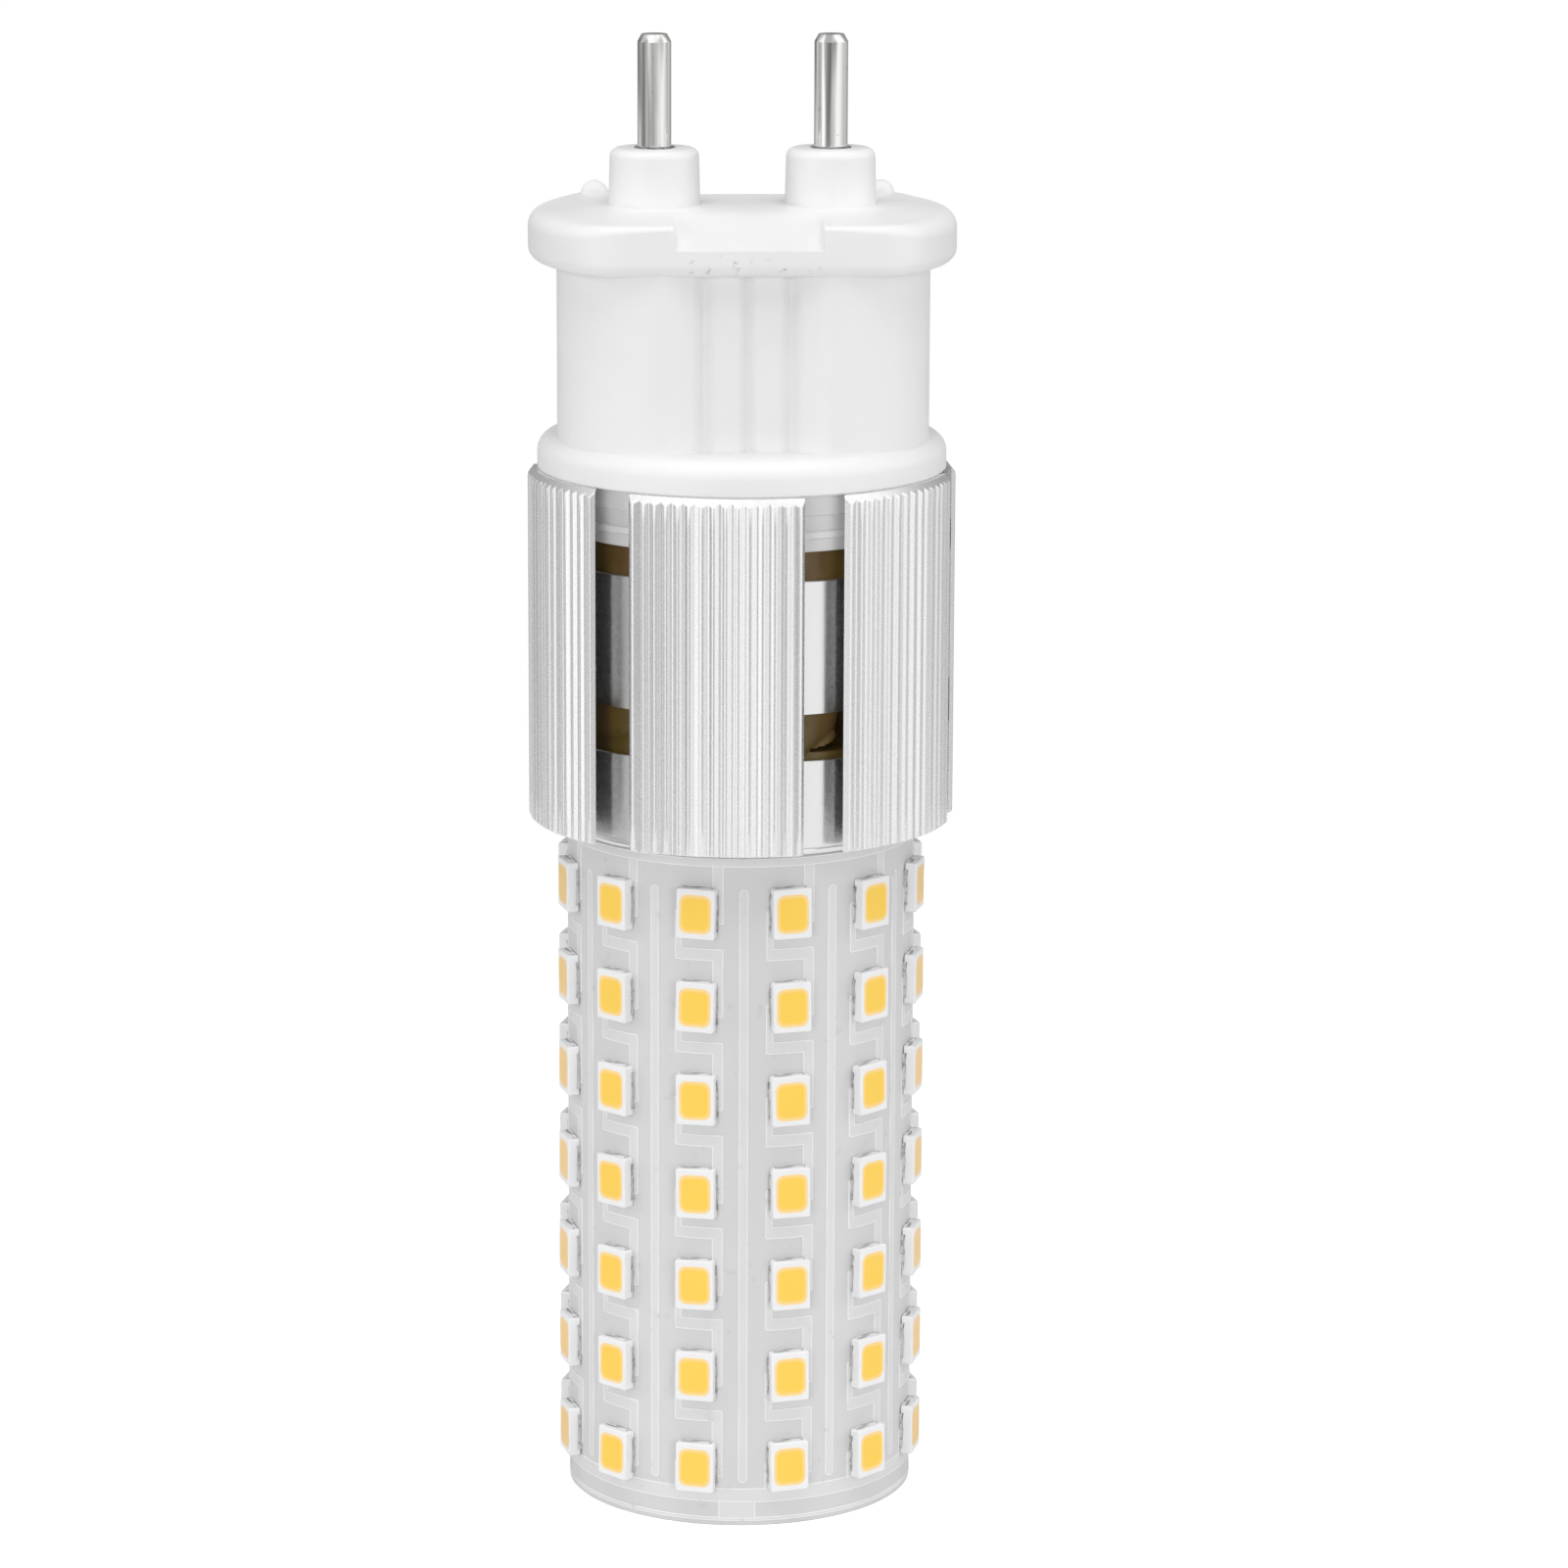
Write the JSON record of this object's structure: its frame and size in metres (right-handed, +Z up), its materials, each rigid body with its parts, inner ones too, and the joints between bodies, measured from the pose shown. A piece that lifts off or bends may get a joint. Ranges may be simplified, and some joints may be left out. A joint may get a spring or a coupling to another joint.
{
  "type": "corn led bulb",
  "caption": "White two-pin LED lamp: bi-pin base, ribbed silver heat sink with slots and a round column covered in yellow-faced LED chips.",
  "frame": {"origin": "middle of the lower, LED end, on the surface that the lamp stands on", "axes": "+Z up towards the pins, the two pins in a line along X, the front facing -Y"},
  "size_m": [0.0294, 0.0294, 0.102],
  "materials": {
    "base_white": "satin moulded white",
    "pin_metal": "nickel plated",
    "sink_aluminium": "matte silver",
    "board_mask": "pale grey solder mask",
    "led_white": "moulded white",
    "led_phosphor": "yellow resin",
    "brown_film": "brown film",
    "driver_laminate": "tan laminate",
    "capacitor_can": "plain can",
    "component_black": "black resin",
    "component_yellow": "yellow film block",
    "lead_metal": "tinned wire"
  },
  "bodies": {
    "root": {"base_shell": "base_white", "contact_pin_left": "pin_metal", "contact_pin_right": "pin_metal", "heat_sink": "sink_aluminium", "led_board": "board_mask", "insulating_sleeve": "brown_film", "end_cap": "base_white", "driver_board": "driver_laminate", "driver_capacitor": "capacitor_can", "driver_choke": "component_black", "driver_film_capacitor": "component_yellow", "driver_rectifier": "component_black", "driver_chip": "component_black", "driver_fuse": "component_black", "pin_lead_left": "lead_metal", "pin_lead_right": "lead_metal", "led_lead_left": "lead_metal", "led_lead_right": "lead_metal", "led_housings_column_01": "led_white", "led_phosphor_column_01": "led_phosphor", "led_housings_column_02": "led_white", "led_phosphor_column_02": "led_phosphor", "led_housings_column_03": "led_white", "led_phosphor_column_03": "led_phosphor", "led_housings_column_04": "led_white", "led_phosphor_column_04": "led_phosphor", "led_housings_column_05": "led_white", "led_phosphor_column_05": "led_phosphor", "led_housings_column_06": "led_white", "led_phosphor_column_06": "led_phosphor", "led_housings_column_07": "led_white", "led_phosphor_column_07": "led_phosphor", "led_housings_column_08": "led_white", "led_phosphor_column_08": "led_phosphor", "led_housings_column_09": "led_white", "led_phosphor_column_09": "led_phosphor", "led_housings_column_10": "led_white", "led_phosphor_column_10": "led_phosphor", "led_housings_column_11": "led_white", "led_phosphor_column_11": "led_phosphor", "led_housings_column_12": "led_white", "led_phosphor_column_12": "led_phosphor"}
  },
  "joints": []
}
